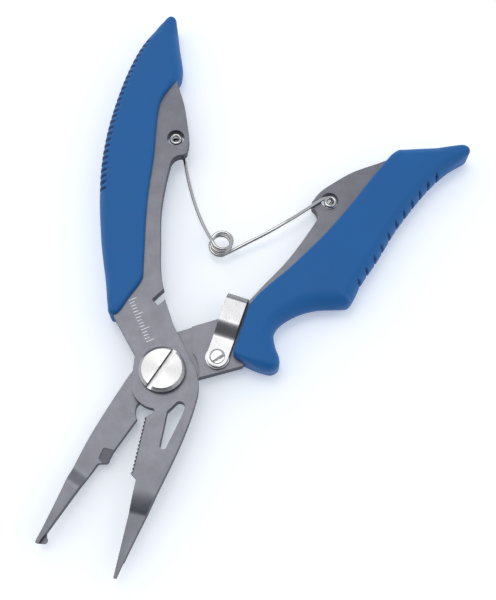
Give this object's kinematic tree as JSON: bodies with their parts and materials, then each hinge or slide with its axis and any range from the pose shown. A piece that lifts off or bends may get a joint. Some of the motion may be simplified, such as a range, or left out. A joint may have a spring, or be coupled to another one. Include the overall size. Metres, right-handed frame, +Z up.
{
  "type": "fishing pliers",
  "caption": "Split-ring fishing pliers with stacked stamped levers, moulded grips, a wire torsion spring and a swinging lock catch.",
  "frame": {"origin": "on the pivot axis, in the flat underside of the pivot nut, on which the tool rests", "axes": "+Z up out of the flat of the tool, along the pivot axis; +Y from the pivot to the handles, along the line midway between them, with the jaws towards -Y"},
  "size_m": [0.1025, 0.1547, 0.0093],
  "materials": {
    "lever_steel": "satin",
    "bright_steel": "polished",
    "blue_grip": "matte"
  },
  "bodies": {
    "lower": {"lower_lever": "lever_steel", "lower_grip": "blue_grip", "pivot_screw": "bright_steel", "pivot_nut": "bright_steel", "head_washer": "bright_steel", "lap_washer": "bright_steel", "catch_rivet": "bright_steel", "catch_washer": "bright_steel"},
    "upper": {"upper_lever": "lever_steel", "upper_grip": "blue_grip"},
    "catch": {"lock_catch": "bright_steel"},
    "spring_root": {"spring_lower_leg": "bright_steel"},
    "spring_tail": {"spring_upper_leg": "bright_steel"}
  },
  "joints": [
    {"name": "pliers_pivot", "type": "hinge", "parent": "lower", "child": "upper", "pos_m": [0, 0, 0], "axis": [0, 0, -1], "range_deg": [0, 22.5], "stiffness_Nm_per_rad": 0.15},
    {"name": "catch_pivot", "type": "hinge", "parent": "lower", "child": "catch", "pos_m": [0.01164, 0.00931, 0.006], "axis": [0, 0, 1], "range_deg": [0, 41]},
    {"name": "spring_foot", "type": "hinge", "parent": "lower", "child": "spring_root", "pos_m": [0.02245, 0.06415, 0.004], "axis": [0, 0, 1], "range_deg": [0, 15.5]},
    {"name": "spring_coil", "type": "hinge", "parent": "spring_root", "child": "spring_tail", "pos_m": [-0.0007, 0.0404, 0.004], "axis": [0, 0, -1], "range_deg": [0, 53.3]}
  ],
  "couplings": [
    {"joint": "spring_foot", "follows": "pliers_pivot", "ratio": 0.6885},
    {"joint": "spring_coil", "follows": "pliers_pivot", "ratio": 2.3676}
  ]
}
